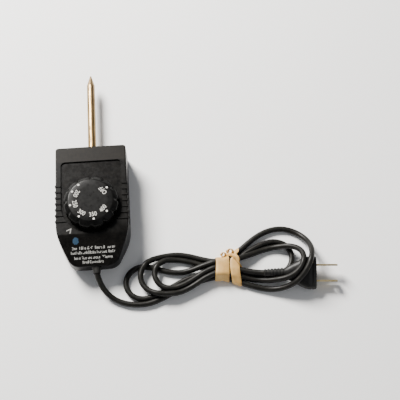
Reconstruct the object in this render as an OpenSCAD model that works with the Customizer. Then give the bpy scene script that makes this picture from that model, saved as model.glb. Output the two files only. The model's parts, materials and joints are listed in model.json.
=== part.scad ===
// Plug-in probe temperature control for an electric griddle or skillet, with its mains cord.
// +Y runs along the probe towards its tip, +Z points up through the dial, +X to the right.
// The origin is under the middle of the housing and probe, on the surface they lie on.

/* [Housing] */
// Width of the housing across the grip ribs
housing_w = 59.6; // [58:0.2:64]
// Length of the housing from the cord end to the front face
housing_l = 103; // [100:1:108]
// Height of the flat top above the base
housing_h = 28; // [27.5:0.1:28.5]
// Thickness of the moulded walls
wall = 2.2; // [1.8:0.1:2.4]
// Height of the parting line between the two shells
parting_z = 14; // [13.5:0.5:14.5]
// Depth of the dial recess
recess_depth = 1.2; // [0.8:0.1:1.4]

/* [Probe] */
// Length of the probe beyond the front face
probe_l = 78; // [60:1:90]
// Radius of the probe sheath
probe_r = 3.5; // [3.2:0.1:3.8]
// Length of the conical tip
tip_l = 10; // [6:0.5:14]

/* [Dial] */
// Radius of the dial knob over its lobes
knob_r = 22.3; // [20:0.1:23.5]
// Height of the dial's face above the housing's top
knob_h = 9; // [8:0.5:11]
// Number of finger notches round the knob
notch_count = 12; // [8:1:16]

/* [Terminals] */
// Distance between the two terminal sleeves' axes
pin_pitch = 28; // [25:0.5:29]
// Radius of the hole in each terminal sleeve
pin_r = 2.5; // [2.3:0.1:2.6]

/* [Cord] */
// Diameter of the cord
cord_d = 4.6; // [4.2:0.1:4.8]
// Height of the folded hank
hank_h = 12; // [11:0.5:14]

/* [Hidden] */
$fn = 48;
eps = 0.01;

// Housing
front_y = (housing_l - probe_l) / 2;
end_y = front_y - housing_l;
rib_out = 0.4;
half_w = housing_w / 2 - rib_out;
// The sides turn in by taper_angle over a wide shoulder and meet the end wall in a round corner
shoulder_y = end_y + 33.5;
shoulder_r = 40;
taper_angle = 25;
end_corner_r = 10;
end_corner_x = 11.7;
crease_y = end_y + 23.5;
end_top_z = 18;
end_low_z = 8.5;
keel_y = end_y + 42;
front_corner_r = 2.5;

// Dial
dial_y = -40.7;
panel_z = housing_h - recess_depth;
recess_r = 25;
recess_top_y = -1.2;
recess_corner_r = 3.5;
knob_low_z = panel_z + 0.5;
knob_rim_z = housing_h + knob_h - 2.5;
knob_top_z = housing_h + knob_h;
knob_face_r = knob_r - 3.9;
notch_r = 1.3;
shaft_r = 3;
shaft_low_z = 15.6;
shaft_top_z = knob_top_z - 2;
bushing_r = 5;
running_gap = 0.05;

// Grip ribs
rib_count = 7;
rib_pitch = 5.25;
rib_first_y = -54.4;
rib_w = 1.4;
rib_h = 0.7;

// Probe
probe_z = 12.5;
probe_inner_r = 2.8;
sheath_bore_r = 2.2;
rod_r = 1.6;
rod_end_y = -16;
pin_end_y = -20.7;
tip_flat_r = 0.6;
sheath_back_y = -8.8;

// Terminals
sleeve_r = 4;
sleeve_back_y = -6;
sleeve_front_y = front_y - 1;
sleeve_bore_l = 15;
tab_screw_y = -12;
lug_back_y = -18;
lug_rise = 1.75;

// Frame and contacts
frame_half_w = 8;
frame_t = 1.2;
frame_low_z = 5;
frame_top_z = 20;
frame_back_y = -57;
frame_front_y = -10;
pivot_y = -50;
pivot_z = 14;
pivot_r = 1;
contact_y = -25;
contact_gap = 0.2;
arm_t = 0.8;

// Screws and bosses
boss_r = 3.5;
screw_places = [[24, 4], [-24, 4], [22.5, -60], [-22.5, -60]];
screw_hole_r = 1.7;
screw_pilot_r = 1.5;
screw_head_r = 2.9;
screw_head_z = 3;
screw_tip_z = 21;

// Cord
cord_r = cord_d / 2;
exit_x = 1.5;
exit_z = 13.2;
cord_sides = 10;
clamp_y = -66;
clamp_screw_r = 1.2;
clamp_screw_z = 6;
// Route of the lead from the clamp inside the housing to where it joins the hank
lead_route = [
    [1.5, -62, 13.2], [1.5, -70, 13.2], [1.5, -80, 13.2], [1.5, -90, 13.2],
    [1.8, -96, 12.7], [3.4, -101.5, 9.8], [6.8, -107.5, 6], [11.5, -112.8, 3.4],
    [17.5, -116.7, 2.4], [24.5, -119, 2.3], [31.5, -119.6, 2.3], [38.5, -119.3, 2.3],
    [46, -117.8, 2.3], [54, -114.8, 2.3], [62, -111.5, 2.3]
];
grommet_back_y = -73;
grommet_tip_y = end_y - 5;
grommet_r = 4;

// Hank, band and plug
band_x = [96, 108, 118];
band_y = -95;
neck_w = [21, 33];
neck_h = 9.6;
band_t = 1.2;
plug_place = [178, -105.5, 9];
plug_yaw = -4;
plug_roll = 20;
plug_w = 27;
plug_t = 12;
plug_l = 22;
blade_pitch = 12.7;
blade_l = 17;
blade_w = 6.35;
blade_t = 1.5;

// ---------- shared shapes ----------

// Points of an arc about c from angle a0 to a1
function arc(c, r, a0, a1, n = 6) =
    [for (i = [0 : n]) let (a = a0 + (a1 - a0) * i / n) c + r * [cos(a), sin(a)]];

// Right half of the housing's outline seen from above, pulled in by d
function half_outline(d) = concat(
    [[0, end_y + d]],
    arc([end_corner_x, end_y + end_corner_r], end_corner_r - d, -90, -taper_angle),
    arc([half_w - shoulder_r, shoulder_y], shoulder_r - d, -taper_angle, 0),
    arc([half_w - front_corner_r, front_y - front_corner_r], front_corner_r - d, 0, 90),
    [[0, front_y - d]]
);

module outline(d) {
    polygon(half_outline(d));
    mirror([1, 0]) polygon(half_outline(d));
}

// Side profile of the housing, seen along X, pulled in by d
module profile(d) {
    polygon([
        [front_y - d, d], [front_y - d, housing_h - d], [crease_y + d * 0.25, housing_h - d],
        [end_y + d, end_top_z - d * 0.7], [end_y + d, end_low_z + d * 0.7], [keel_y, d]
    ]);
}

module housing_form(d) {
    intersection() {
        linear_extrude(housing_h) outline(d);
        translate([-50, 0, 0]) rotate([90, 0, 90]) linear_extrude(100) profile(d);
    }
}

module slab(z0, z1) {
    translate([-60, -120, z0]) cube([120, 240, z1 - z0]);
}

// Cylinder along +Y from y0 to y1
module rod_y(r, y0, y1, x = 0, z = probe_z) {
    translate([x, y0, z]) rotate([-90, 0, 0]) cylinder(r = r, h = y1 - y0);
}

// Cylinder along +Z from z0 to z1
module post(r, z0, z1, x = 0, y = 0) {
    translate([x, y, z0]) cylinder(r = r, h = z1 - z0);
}

// Tombstone outline of the dial recess
module recess_outline() {
    translate([0, dial_y]) circle(r = recess_r, $fn = 96);
    translate([-recess_r, dial_y])
        square([2 * recess_r, recess_top_y - recess_corner_r - dial_y]);
    translate([-recess_r + recess_corner_r, dial_y])
        square([2 * (recess_r - recess_corner_r), recess_top_y - dial_y]);
    for (s = [-1, 1])
        translate([s * (recess_r - recess_corner_r), recess_top_y - recess_corner_r])
            circle(r = recess_corner_r);
}

module front_openings() {
    rod_y(probe_r + 1.2, front_y - wall - 1, front_y + 1);
    for (s = [-1, 1])
        rod_y(sleeve_r + 0.6, front_y - wall - 1, front_y + 1, s * pin_pitch / 2);
}

module cord_opening() {
    rod_y(3.5, end_y - 1, end_y + wall + 1, exit_x, exit_z);
}

// ---------- housing ----------

module grip_ribs() {
    for (i = [0 : rib_count - 1], s = [-1, 1]) {
        y = rib_first_y + i * rib_pitch - rib_w / 2;
        difference() {
            translate([s > 0 ? 0 : -housing_w / 2, y, parting_z + 1])
                cube([housing_w / 2, rib_w, housing_h + rib_h - parting_z - 1]);
            translate([0, 0, panel_z - 20]) linear_extrude(30) recess_outline();
            translate([-half_w + 1, -60, 0]) cube([2 * half_w - 2, 60, housing_h - 1]);
        }
    }
}

module upper_housing() {
    color("#161616") {
        difference() {
            union() {
                intersection() {
                    housing_form(0);
                    slab(parting_z, housing_h + 1);
                }
                grip_ribs();
            }
            difference() {
                housing_form(wall);
                translate([0, 0, panel_z - wall]) linear_extrude(5)
                    translate([0, dial_y]) square([2 * recess_r, 90], center = true);
                for (p = screw_places)
                    post(boss_r, parting_z - 1, housing_h - 1, p[0], p[1]);
            }
            translate([0, 0, panel_z]) linear_extrude(5) recess_outline();
            post(bushing_r + 0.3, panel_z - 5, panel_z + 5, 0, dial_y);
            front_openings();
            cord_opening();
            for (p = screw_places)
                post(screw_pilot_r, parting_z - 1, screw_tip_z + 0.5, p[0], p[1]);
        }
    }
}

module lower_housing() {
    color("#101010") difference() {
        union() {
            difference() {
                intersection() {
                    housing_form(0);
                    slab(0, parting_z);
                }
                housing_form(wall);
            }
            intersection() {
                housing_form(0);
                for (p = screw_places)
                    post(boss_r, 0, parting_z, p[0], p[1]);
            }
            // Cradle under the cord, which also takes the clamp's screws
            intersection() {
                housing_form(0);
                translate([exit_x - 11, clamp_y - 2.5, 0]) cube([22, 5, exit_z - cord_r]);
            }
            // Pads under the ceramic block and the frame
            for (s = [-1, 1]) {
                translate([s * 17 - 2.5, -4, wall - eps]) cube([5, 12, 4.5 - wall + eps]);
                translate([s * 5 - 1.5, -54, wall - eps]) cube([3, 40, 5 - wall + eps]);
            }
        }
        front_openings();
        cord_opening();
        for (p = screw_places) {
            post(screw_hole_r, -1, parting_z + 1, p[0], p[1]);
            post(screw_head_r + 0.3, -1, screw_head_z + 2, p[0], p[1]);
        }
        for (s = [-1, 1])
            post(clamp_screw_r, clamp_screw_z, parting_z, exit_x + s * 8, clamp_y);
    }
}

module housing_screws() {
    color("#8a8a86") for (p = screw_places) {
        post(screw_pilot_r, screw_head_z + 1, screw_tip_z, p[0], p[1]);
        difference() {
            post(screw_head_r, screw_head_z, screw_head_z + 1.9, p[0], p[1]);
            translate([p[0] - 3, p[1] - 0.4, screw_head_z - 1]) cube([6, 0.8, 1.6]);
        }
    }
}

// ---------- dial ----------

module dial_knob() {
    color("#141414") translate([0, dial_y, 0]) difference() {
        union() {
            post(knob_r, knob_low_z, knob_rim_z);
            translate([0, 0, knob_rim_z])
                cylinder(r1 = knob_r, r2 = knob_face_r, h = knob_top_z - knob_rim_z);
        }
        for (i = [0 : notch_count - 1])
            rotate(i * 360 / notch_count) post(notch_r, knob_low_z - 1, knob_top_z + 1, knob_r + 0.4);
        post(9.5, knob_low_z - 1, knob_low_z + 0.9);
        post(shaft_r, knob_low_z, shaft_top_z);
    }
}

module control_shaft() {
    color("#a9a9a6") translate([0, dial_y, 0]) {
        post(1.6, shaft_low_z, 19);
        post(shaft_r, 18.5, shaft_top_z);
    }
}

module shaft_bushing() {
    color("#b39b55") translate([0, dial_y, 0]) difference() {
        union() {
            post(bushing_r, frame_top_z - 1, panel_z + 0.4);
            post(7, frame_top_z - 1.2, frame_top_z);
        }
        post(shaft_r + running_gap, frame_top_z - 3, panel_z + 2);
    }
}

module bushing_nut() {
    color("#9a9a96") translate([0, dial_y, 0]) difference() {
        translate([0, 0, frame_top_z + frame_t]) cylinder(r = 6.9, h = 2.3, $fn = 6);
        post(bushing_r, frame_top_z, frame_top_z + 5);
    }
}

module wave_washer() {
    color("#9a9a96") translate([0, dial_y, 0]) difference() {
        post(9, panel_z, panel_z + 0.5);
        post(5.5, panel_z - 1, panel_z + 1);
    }
}

// ---------- probe ----------

module probe_sheath() {
    tip_y = front_y + probe_l;
    color("#9d7f52") translate([0, 0, probe_z]) rotate([-90, 0, 0]) rotate_extrude($fn = 64)
        polygon([
            [sheath_bore_r, sheath_back_y], [probe_inner_r, sheath_back_y],
            [probe_inner_r, front_y - 1.5], [probe_r, front_y - 1.2],
            [probe_r, tip_y - tip_l], [probe_r - 0.9, tip_y - tip_l + 3.2],
            [tip_flat_r, tip_y], [0, tip_y], [0, tip_y - tip_l - 1],
            [sheath_bore_r, tip_y - tip_l - 2]
        ]);
}

module probe_collar() {
    color("#8f8f8a") difference() {
        rod_y(6, sheath_back_y, sheath_back_y + 2);
        rod_y(probe_inner_r, sheath_back_y - 1, sheath_back_y + 3);
    }
}

module sensing_rod() {
    color("#c9c9c4") rod_y(rod_r, rod_end_y, front_y + probe_l - tip_l - 2.5);
}

module push_pin() {
    color("#ece7da") rod_y(1.4, pin_end_y, rod_end_y);
}

// ---------- frame and contacts ----------

module thermostat_frame() {
    color("#a3a39c") difference() {
        union() {
            translate([-frame_half_w, frame_back_y, frame_low_z])
                cube([2 * frame_half_w, frame_front_y - frame_back_y + frame_t, frame_t]);
            translate([-frame_half_w, frame_back_y, frame_top_z])
                cube([2 * frame_half_w, frame_front_y - frame_back_y + frame_t, frame_t]);
            for (y = [frame_back_y, frame_front_y])
                translate([-frame_half_w, y, frame_low_z])
                    cube([2 * frame_half_w, frame_t, frame_top_z - frame_low_z + frame_t]);
            for (s = [-1, 1])
                translate([s * 6.6 - frame_t / 2, pivot_y - 3, frame_low_z])
                    cube([frame_t, 6, pivot_z - frame_low_z + 3]);
        }
        rod_y(2.4, frame_front_y - 1, frame_front_y + 3);
        post(bushing_r + 0.05, frame_top_z - 1, frame_top_z + 3, 0, dial_y);
        post(1.5, frame_low_z - 1, frame_low_z + 3, 0, -38);
        translate([-10, pivot_y, pivot_z]) rotate([0, 90, 0]) cylinder(r = pivot_r, h = 20);
    }
}

module pivot_pin() {
    color("#b8b8b3") translate([-8, pivot_y, pivot_z]) rotate([0, 90, 0])
        cylinder(r = pivot_r, h = 16);
}

module contact_lever() {
    color("#b08a45") difference() {
        union() {
            translate([-5.5, pivot_y, pivot_z]) rotate([0, 90, 0]) cylinder(r = 2.3, h = 11);
            translate([-3, pivot_y + 1, pivot_z - 0.6]) cube([6, contact_y - pivot_y + 3, 1.2]);
            translate([-3, contact_y + 3, pivot_z - 3]) cube([6, 1, 3.6]);
        }
        translate([-10, pivot_y, pivot_z]) rotate([0, 90, 0])
            cylinder(r = pivot_r + running_gap, h = 20);
    }
}

module moving_contact() {
    color("#dcdcd8") post(2, pivot_z - 1.4, pivot_z - 0.6, 0, contact_y);
}

fixed_top_z = pivot_z - 1.4 - contact_gap;

module fixed_contact() {
    color("#dcdcd8") post(2, fixed_top_z - 0.8, fixed_top_z, 0, contact_y);
}

module fixed_contact_arm() {
    color("#b08a45") difference() {
        translate([-3.5, -43, fixed_top_z - 0.8 - arm_t]) cube([7, contact_y + 2.3 + 43, arm_t]);
        post(1.5, 0, 20, 0, -38);
    }
}

module arm_insulator() {
    color("#e8e2d2") difference() {
        post(4.2, frame_low_z + frame_t, fixed_top_z - 0.8 - arm_t, 0, -38);
        post(1.5, 0, 20, 0, -38);
    }
}

module arm_rivet() {
    color("#b8b8b3") {
        post(1.5, frame_low_z - 0.4, fixed_top_z - 0.4, 0, -38);
        post(2.6, fixed_top_z - 0.8, fixed_top_z - 0.2, 0, -38);
    }
}

// ---------- terminals ----------

module terminal_block() {
    color("#e4dccb") difference() {
        translate([-20.2, -5, 4.5]) cube([40.4, front_y - wall - 0.3 + 5, 16]);
        rod_y(4.6, -6, front_y);
        for (s = [-1, 1])
            rod_y(sleeve_r + 0.05, -6, front_y, s * pin_pitch / 2);
    }
}

module terminal_sleeve(s) {
    x = s * pin_pitch / 2;
    color("#c2a968") difference() {
        union() {
            rod_y(sleeve_r, sleeve_back_y, sleeve_front_y, x);
            translate([x - 3.2, -16, probe_z - 1]) cube([6.4, 10.5, 1.2]);
        }
        rod_y(pin_r, sleeve_front_y - sleeve_bore_l, sleeve_front_y + 1, x);
        post(1.5, 0, 25, x, tab_screw_y);
    }
}

module terminal_sleeve_left() {
    terminal_sleeve(-1);
}

module terminal_sleeve_right() {
    terminal_sleeve(1);
}

module terminal_screws() {
    color("#b8b8b3") for (s = [-1, 1]) {
        post(1.5, probe_z - 3, probe_z + 1.4, s * pin_pitch / 2, tab_screw_y);
        post(2.8, probe_z + 1.4, probe_z + 3, s * pin_pitch / 2, tab_screw_y);
    }
}

module heat_shield() {
    color("#b9b4a4") difference() {
        translate([-24, -8, 3.2]) cube([48, 0.8, 20]);
        rod_y(6.6, -9, -6);
        for (s = [-1, 1])
            rod_y(4.6, -9, -6, s * pin_pitch / 2);
    }
}

// ---------- internal leads ----------

module ring_lugs() {
    color("#c9c9c4") for (s = [-1, 1]) translate([s * pin_pitch / 2, tab_screw_y, probe_z])
        difference() {
            union() {
                post(3.6, 0.2, 1.2);
                rod_y(1.5, lug_back_y - tab_screw_y, -3.1, 0, lug_rise);
            }
            post(1.55, -1, 3);
        }
}

module lead_neutral() {
    color("#e9e6dc") tube([[2.8, -61.4, 13.2], [3.6, -60.2, 13.2], [9, -58.8, 13.2], [15, -50, 12.5],
        [17, -35, 12], [pin_pitch / 2, lug_back_y - 5, 14],
        [pin_pitch / 2, lug_back_y - 0.2, probe_z + lug_rise]], 1.1, 8);
}

module lead_load() {
    color("#6e2a22") tube([[-3.7, -42, 11.2], [-8, -41.5, 11.2], [-13.5, -36, 11.3],
        [-pin_pitch / 2, lug_back_y - 6, 13], [-pin_pitch / 2, lug_back_y - 0.2, probe_z + lug_rise]],
        1.1, 8);
}

module lead_live() {
    color("#2a2a2a") tube([[0.2, -61.4, 13.2], [-0.8, -60.4, 13.2], [-6, -60, 12.5], [-10, -58.5, 11],
        [-10.5, -54, 9.5], [-9.4, -50, 9]], 1.1, 8);
}

// ---------- cord ----------

module cord_clamp() {
    color("#1b1b1b") difference() {
        translate([exit_x - 11, clamp_y - 2.5, exit_z + cord_r]) cube([22, 5, 2.4]);
        for (s = [-1, 1])
            post(1.5, 0, 25, exit_x + s * 8, clamp_y);
    }
}

module clamp_screws() {
    color("#8a8a86") for (s = [-1, 1]) {
        post(clamp_screw_r, clamp_screw_z, exit_z + cord_r + 2.4, exit_x + s * 8, clamp_y);
        post(2.6, exit_z + cord_r + 2.4, exit_z + cord_r + 4, exit_x + s * 8, clamp_y);
    }
}

// Tapered strain relief, most of it inside the housing
module cord_grommet() {
    color("#0e0e0e") translate([exit_x, 0, exit_z]) rotate([90, 0, 0]) rotate_extrude($fn = 48)
        polygon([
            [cord_r, -grommet_back_y], [2.6, -grommet_back_y], [3, -end_y - wall - 0.3],
            [3.4, -end_y - wall - 0.3], [3.4, -end_y + 0.1], [grommet_r, -end_y + 0.1],
            [grommet_r - 0.5, -end_y + 1.4], [cord_r + 0.4, -grommet_tip_y],
            [cord_r, -grommet_tip_y]
        ]);
}

// Point of a Catmull-Rom curve through p at place t in segment i
function on_curve(p, i, t) = let (
    a = p[max(i - 1, 0)], b = p[i], c = p[i + 1], d = p[min(i + 2, len(p) - 1)]
) 0.5 * (2 * b + (c - a) * t + (2 * a - 5 * b + 4 * c - d) * t * t
    + (3 * b - a - 3 * c + d) * t * t * t);

function unit(v) = v / norm(v);

// Centres of a tube's rings, about gap apart
function ring_centres(p, gap) = concat(
    [for (i = [0 : len(p) - 2]) let (n = max(1, round(norm(p[i + 1] - p[i]) / gap)))
        for (k = [0 : n - 1]) on_curve(p, i, k / n)],
    [p[len(p) - 1]]
);

module tube(route, r, sides) {
    c = ring_centres(route, 4.8 * r);
    n = len(c);
    rings = [for (i = [0 : n - 1]) let (
            way = unit(c[min(i + 1, n - 1)] - c[max(i - 1, 0)]),
            side = unit(cross(way, [0, 0, 1])),
            up = cross(side, way)
        ) for (k = [0 : sides - 1]) let (a = 360 * k / sides)
            c[i] + r * (cos(a) * side + sin(a) * up)];
    faces = concat(
        [[for (k = [0 : sides - 1]) k]],
        [for (i = [0 : n - 2], k = [0 : sides - 1]) let (m = (k + 1) % sides)
            each [
                [i * sides + k, (i + 1) * sides + k, (i + 1) * sides + m],
                [i * sides + k, (i + 1) * sides + m, i * sides + m]
            ]],
        [[for (k = [sides - 1 : -1 : 0]) (n - 1) * sides + k]]
    );
    polyhedron(points = rings, faces = faces);
}

module cord_lead() {
    color("#1d1d1b") tube(lead_route, cord_r, cord_sides);
}

// Flat-sided outline of width w and height h with round ends, swept along X
module stadium_bar(x0, x1, w, h) {
    translate([x0, band_y, h / 2 + (neck_h + 2 * band_t - h) / 2]) rotate([90, 0, 90])
        linear_extrude(x1 - x0) {
            square([w - h, h], center = true);
            for (s = [-1, 1])
                translate([s * (w - h) / 2, 0]) circle(d = h);
        }
}

module cord_hank() {
    color("#1d1d1b") {
        linear_extrude(hank_h) hull() {
            translate([38.5, -101]) circle(r = 17);
            translate([60, -96.5]) circle(r = 17);
            translate([band_x[0] - 4, band_y - 11]) square([2, 22]);
        }
        linear_extrude(hank_h) hull() {
            translate([149, -90]) circle(r = 29);
            translate([band_x[2] + 1, band_y - neck_w[1] / 2]) square([2, neck_w[1]]);
        }
        stadium_bar(band_x[0] - 3, band_x[1] + 2, neck_w[0], neck_h);
        stadium_bar(band_x[1] + 1, band_x[2] + 2, neck_w[1], neck_h);
    }
}

module rubber_band() {
    color("#cdb27a") for (i = [0, 1])
        difference() {
            stadium_bar(band_x[i], band_x[i + 1], neck_w[i] + 2 * band_t, neck_h + 2 * band_t);
            stadium_bar(band_x[i] - 1, band_x[i + 1] + 1, neck_w[i] + 0.2, neck_h + 0.2);
        }
}

// ---------- plug ----------

module on_plug() {
    translate(plug_place) rotate([plug_roll, 0, plug_yaw]) children();
}

// One end plate of the plug's tapered body
module plug_slice(x, w, t) {
    for (s = [-1, 1])
        translate([x, s * (w - t) / 2, 0]) rotate([0, 90, 0]) cylinder(d = t, h = 0.5, $fn = 32);
}

module plug_body() {
    color("#141414") on_plug() {
        hull() {
            plug_slice(-0.5, plug_w, plug_t);
            plug_slice(-6, plug_w + 0.4, plug_t + 0.4);
            plug_slice(-plug_l, 15, 9);
        }
    }
}

module plug_relief() {
    color("#141414") on_plug() translate([-plug_l, 0, 0]) rotate([0, -90, 0])
        cylinder(r1 = 4.4, r2 = cord_r + 0.5, h = 20);
}

module plug_blades() {
    color("#b7a676") on_plug() for (s = [-1, 1])
        difference() {
            translate([0, s * blade_pitch / 2 - blade_t / 2, -blade_w / 2])
                cube([blade_l, blade_t, blade_w]);
            translate([blade_l - 5, s * blade_pitch / 2 - 3, 0]) rotate([-90, 0, 0])
                cylinder(r = 1.6, h = 6);
        }
}

// ---------- choice of node ----------

upper_housing();
lower_housing();
dial_knob();
control_shaft();
shaft_bushing();
bushing_nut();
wave_washer();
probe_sheath();
probe_collar();
sensing_rod();
push_pin();
thermostat_frame();
pivot_pin();
contact_lever();
moving_contact();
fixed_contact_arm();
fixed_contact();
arm_insulator();
arm_rivet();
terminal_block();
terminal_sleeve_left();
terminal_sleeve_right();
terminal_screws();
heat_shield();
ring_lugs();
lead_neutral();
lead_live();
lead_load();
cord_clamp();
clamp_screws();
housing_screws();
cord_grommet();
cord_lead();
cord_hank();
rubber_band();
plug_relief();
plug_body();
plug_blades();
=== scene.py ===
import json
import math
import bmesh
import bpy
import numpy as np
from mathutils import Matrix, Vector


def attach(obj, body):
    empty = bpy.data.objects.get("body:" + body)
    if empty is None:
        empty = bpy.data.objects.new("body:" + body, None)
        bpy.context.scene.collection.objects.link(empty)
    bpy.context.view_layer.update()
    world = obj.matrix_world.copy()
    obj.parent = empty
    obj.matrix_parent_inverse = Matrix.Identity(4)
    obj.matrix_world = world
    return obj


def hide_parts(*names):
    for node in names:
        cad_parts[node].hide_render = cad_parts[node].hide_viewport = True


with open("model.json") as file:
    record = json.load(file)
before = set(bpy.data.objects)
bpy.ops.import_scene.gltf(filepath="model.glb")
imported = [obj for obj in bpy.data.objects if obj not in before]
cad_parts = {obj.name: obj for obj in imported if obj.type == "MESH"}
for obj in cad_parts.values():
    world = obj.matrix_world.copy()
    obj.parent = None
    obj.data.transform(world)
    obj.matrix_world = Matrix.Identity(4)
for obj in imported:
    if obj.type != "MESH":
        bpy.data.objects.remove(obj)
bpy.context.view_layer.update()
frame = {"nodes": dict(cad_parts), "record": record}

MM = 0.001              # lengths below are in mm unless they say otherwise
NODES = frame["nodes"]
DIAL_Y = -40.7          # dial axis
TOP_Z = 28              # flat top of the housing
CREASE_Y = -67.0        # where the top starts to fall towards the cord
SLOPE = 10 / 23.5       # how steeply it falls


# ---------------------------------------------------------------- camera
def make_camera():
    """Camera at the photograph's angle, 0.75 m from a point between the housing and the plug."""
    el, turn, dist = math.radians(66), math.radians(4), 0.75
    half_view = 200 / 882.35        # tangent of half the angle of view
    look = Vector((math.sin(turn) * math.cos(el), math.cos(turn) * math.cos(el), -math.sin(el)))
    cam = bpy.data.cameras.new("camera")
    cam.sensor_fit = "HORIZONTAL"
    cam.angle = 2 * math.atan(half_view)
    cam.clip_end = 20
    obj = bpy.data.objects.new("camera", cam)
    bpy.context.scene.collection.objects.link(obj)
    obj.location = Vector((0.0891, -0.0307, 0)) - look * dist
    obj.rotation_euler = look.to_track_quat("-Z", "Y").to_euler()
    bpy.context.scene.camera = obj


make_camera()


# ---------------------------------------------------------------- mesh helpers
def add_mesh(name, verts, faces, smooth=True):
    me = bpy.data.meshes.new(name)
    me.from_pydata([tuple(float(c) * MM for c in v) for v in verts], [], faces)
    me.validate()
    me.polygons.foreach_set("use_smooth", [smooth] * len(me.polygons))
    ob = bpy.data.objects.new(name, me)
    bpy.context.scene.collection.objects.link(ob)
    return ob


def skin(rings):
    """Closed skin over rings of equal point count, with a cap at both ends."""
    n = len(rings[0])
    verts = [tuple(p) for r in rings for p in r]
    faces = [(i * n + k, i * n + (k + 1) % n, (i + 1) * n + (k + 1) % n, (i + 1) * n + k)
             for i in range(len(rings) - 1) for k in range(n)]
    faces += [tuple(range(n - 1, -1, -1)), tuple(range((len(rings) - 1) * n, len(rings) * n))]
    return verts, faces


def sharpen(ob, degrees=35):
    """Smooth shading that breaks at edges sharper than the given angle."""
    bm = bmesh.new()
    bm.from_mesh(ob.data)
    bmesh.ops.recalc_face_normals(bm, faces=bm.faces)
    for e in bm.edges:
        if len(e.link_faces) == 2:
            e.smooth = e.calc_face_angle(0) < math.radians(degrees)
    for f in bm.faces:
        f.smooth = True
    bm.to_mesh(ob.data)
    bm.free()


# ---------------------------------------------------------------- cord layout
D = 4.6                 # cord diameter
R = D / 2
PLUG = np.array([178, -105.5, 9.0])     # middle of the plug's front face
PLUG_YAW, PLUG_ROLL = math.radians(-4), math.radians(20)
_c, _s = math.cos(PLUG_YAW), math.sin(PLUG_YAW)
_cr, _sr = math.cos(PLUG_ROLL), math.sin(PLUG_ROLL)
PLUG_AXES = np.array([[_c, -_s * _cr, _s * _sr], [_s, _c * _cr, -_c * _sr], [0, _sr, _cr]])

# The seven runs inside the band: four on the bottom, three in the hollows between them
SLOTS = {"s0": (-102.0, 3.6), "s1": (-97.4, 3.6), "s2": (-92.7, 3.6), "s3": (-88.0, 3.6),
         "t0": (-99.7, 7.7), "t1": (-95.0, 7.7), "t2": (-90.3, 7.7)}


def slot_run(name, way):
    """Three points along a run inside the band, towards +X or -X."""
    y, z = SLOTS[name]
    return [(x, y, z) for x in ((96, 100, 104) if way > 0 else (104, 100, 96))]


def arc(cx, cy, r, a0, a1, n, z):
    """n points on a level arc, from angle a0 to a1 in degrees."""
    return [(cx + r * math.cos(a), cy + r * math.sin(a), z) for a in np.radians(np.linspace(a0, a1, n))]


def route():
    """Course of the cord as listed points, from inside the housing to the plug."""
    # the lead, as in the CAD model
    r = [(1.5, -70, 13.2), (1.5, -80, 13.2), (1.5, -90, 13.2), (1.8, -96, 12.7), (3.4, -101.5, 9.8),
         (6.8, -107.5, 6), (11.5, -112.8, 3.4), (17.5, -116.7, 2.4), (24.5, -119, 2.3),
         (31.5, -119.6, 2.3), (38.5, -119.3, 2.3), (46, -117.8, 2.3), (54, -114.8, 2.3), (62, -111.5, 2.3),
         (71, -108.2, 2.3), (80, -105.6, 2.4), (88, -103.4, 3)] + slot_run("s0", 1)
    # first right loop, the widest, over the plug
    r += [(111, -105.5, 3), (118, -108.4, 2.6), (127, -111.5, 2.3), (137, -114.4, 3), (148, -115.6, 7),
          (158, -114, 12.5), (166, -109.6, 16), (171.6, -103, 18.5), (174.8, -95.5, 19.8), (176, -88, 17.5),
          (175.4, -80.5, 13), (172.6, -73.5, 8), (167.4, -67.5, 4.5), (160, -63.8, 2.8), (152, -62.6, 2.3),
          (144, -63.6, 2.3), (136, -66.8, 2.3), (128, -71.8, 2.6), (120, -78, 3), (112, -83.8, 3.4)]
    # left fold on top
    r += slot_run("s3", -1) + [(88, -85.4, 4.5), (80, -83.4, 6.5), (71, -82.4, 7.8)]
    r += [(60, -83, 8)] + arc(49.5, -98.2, 14.6, 85, 275, 9, 7.6) + [(60, -112.4, 7.8)]
    r += [(71, -109, 7.8), (80, -105.6, 7.6), (88, -102, 7.7)] + slot_run("t0", 1)
    # second right loop
    r += [(112, -101.6, 7.5), (120, -104.2, 7.2), (129, -106.4, 7.4), (138, -107.8, 9.5), (148, -108.4, 13)]
    r += arc(154, -94.2, 15.5, -80, 80, 8, 17.5)
    r += [(150, -79.6, 12.5), (142, -79.2, 8.5), (135, -80.4, 7), (127, -82.8, 7.2), (119, -86, 7.4),
          (112, -88.6, 7.6)]
    # longest left fold, on the table
    r += slot_run("t2", -1) + [(86, -92, 6.4), (77, -94.6, 4.2), (67, -96.2, 2.6), (57, -95.4, 2.3)]
    r += arc(39.5, -102.2, 15, 60, 275, 9, 2.3)
    r += [(52, -112, 2.3), (63, -106.3, 2.4), (74, -101, 2.8), (85, -98.2, 3.4)] + slot_run("s1", 1)
    # third right loop
    r += [(113, -98.4, 3.2), (123, -99.8, 2.8), (134, -101.8, 2.6)]
    r += arc(145.8, -88.3, 15, -80, 85, 8, 2.4)
    r += [(138, -75.8, 2.5), (130, -79.8, 3), (122, -85.2, 3.2), (113, -90.2, 3.4)]
    # third left fold, nested in the first
    r += slot_run("s2", -1) + [(88, -91, 4), (80, -86.6, 5), (73, -83.6, 6)]
    r += arc(63, -96.8, 14.6, 90, 268, 8, 7.2)
    r += [(76, -107.6, 7), (83, -102, 7.2), (89, -97.6, 7.7)] + slot_run("t1", 1)
    # last run, to the plug
    r += [(112, -96.6, 7.9), (120, -99.2, 8.4), (128, -101.2, 8.8)]
    r += [tuple(PLUG - PLUG_AXES[:, 0] * k) for k in (42, 34, 26)]
    return np.array(r, float)


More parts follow.
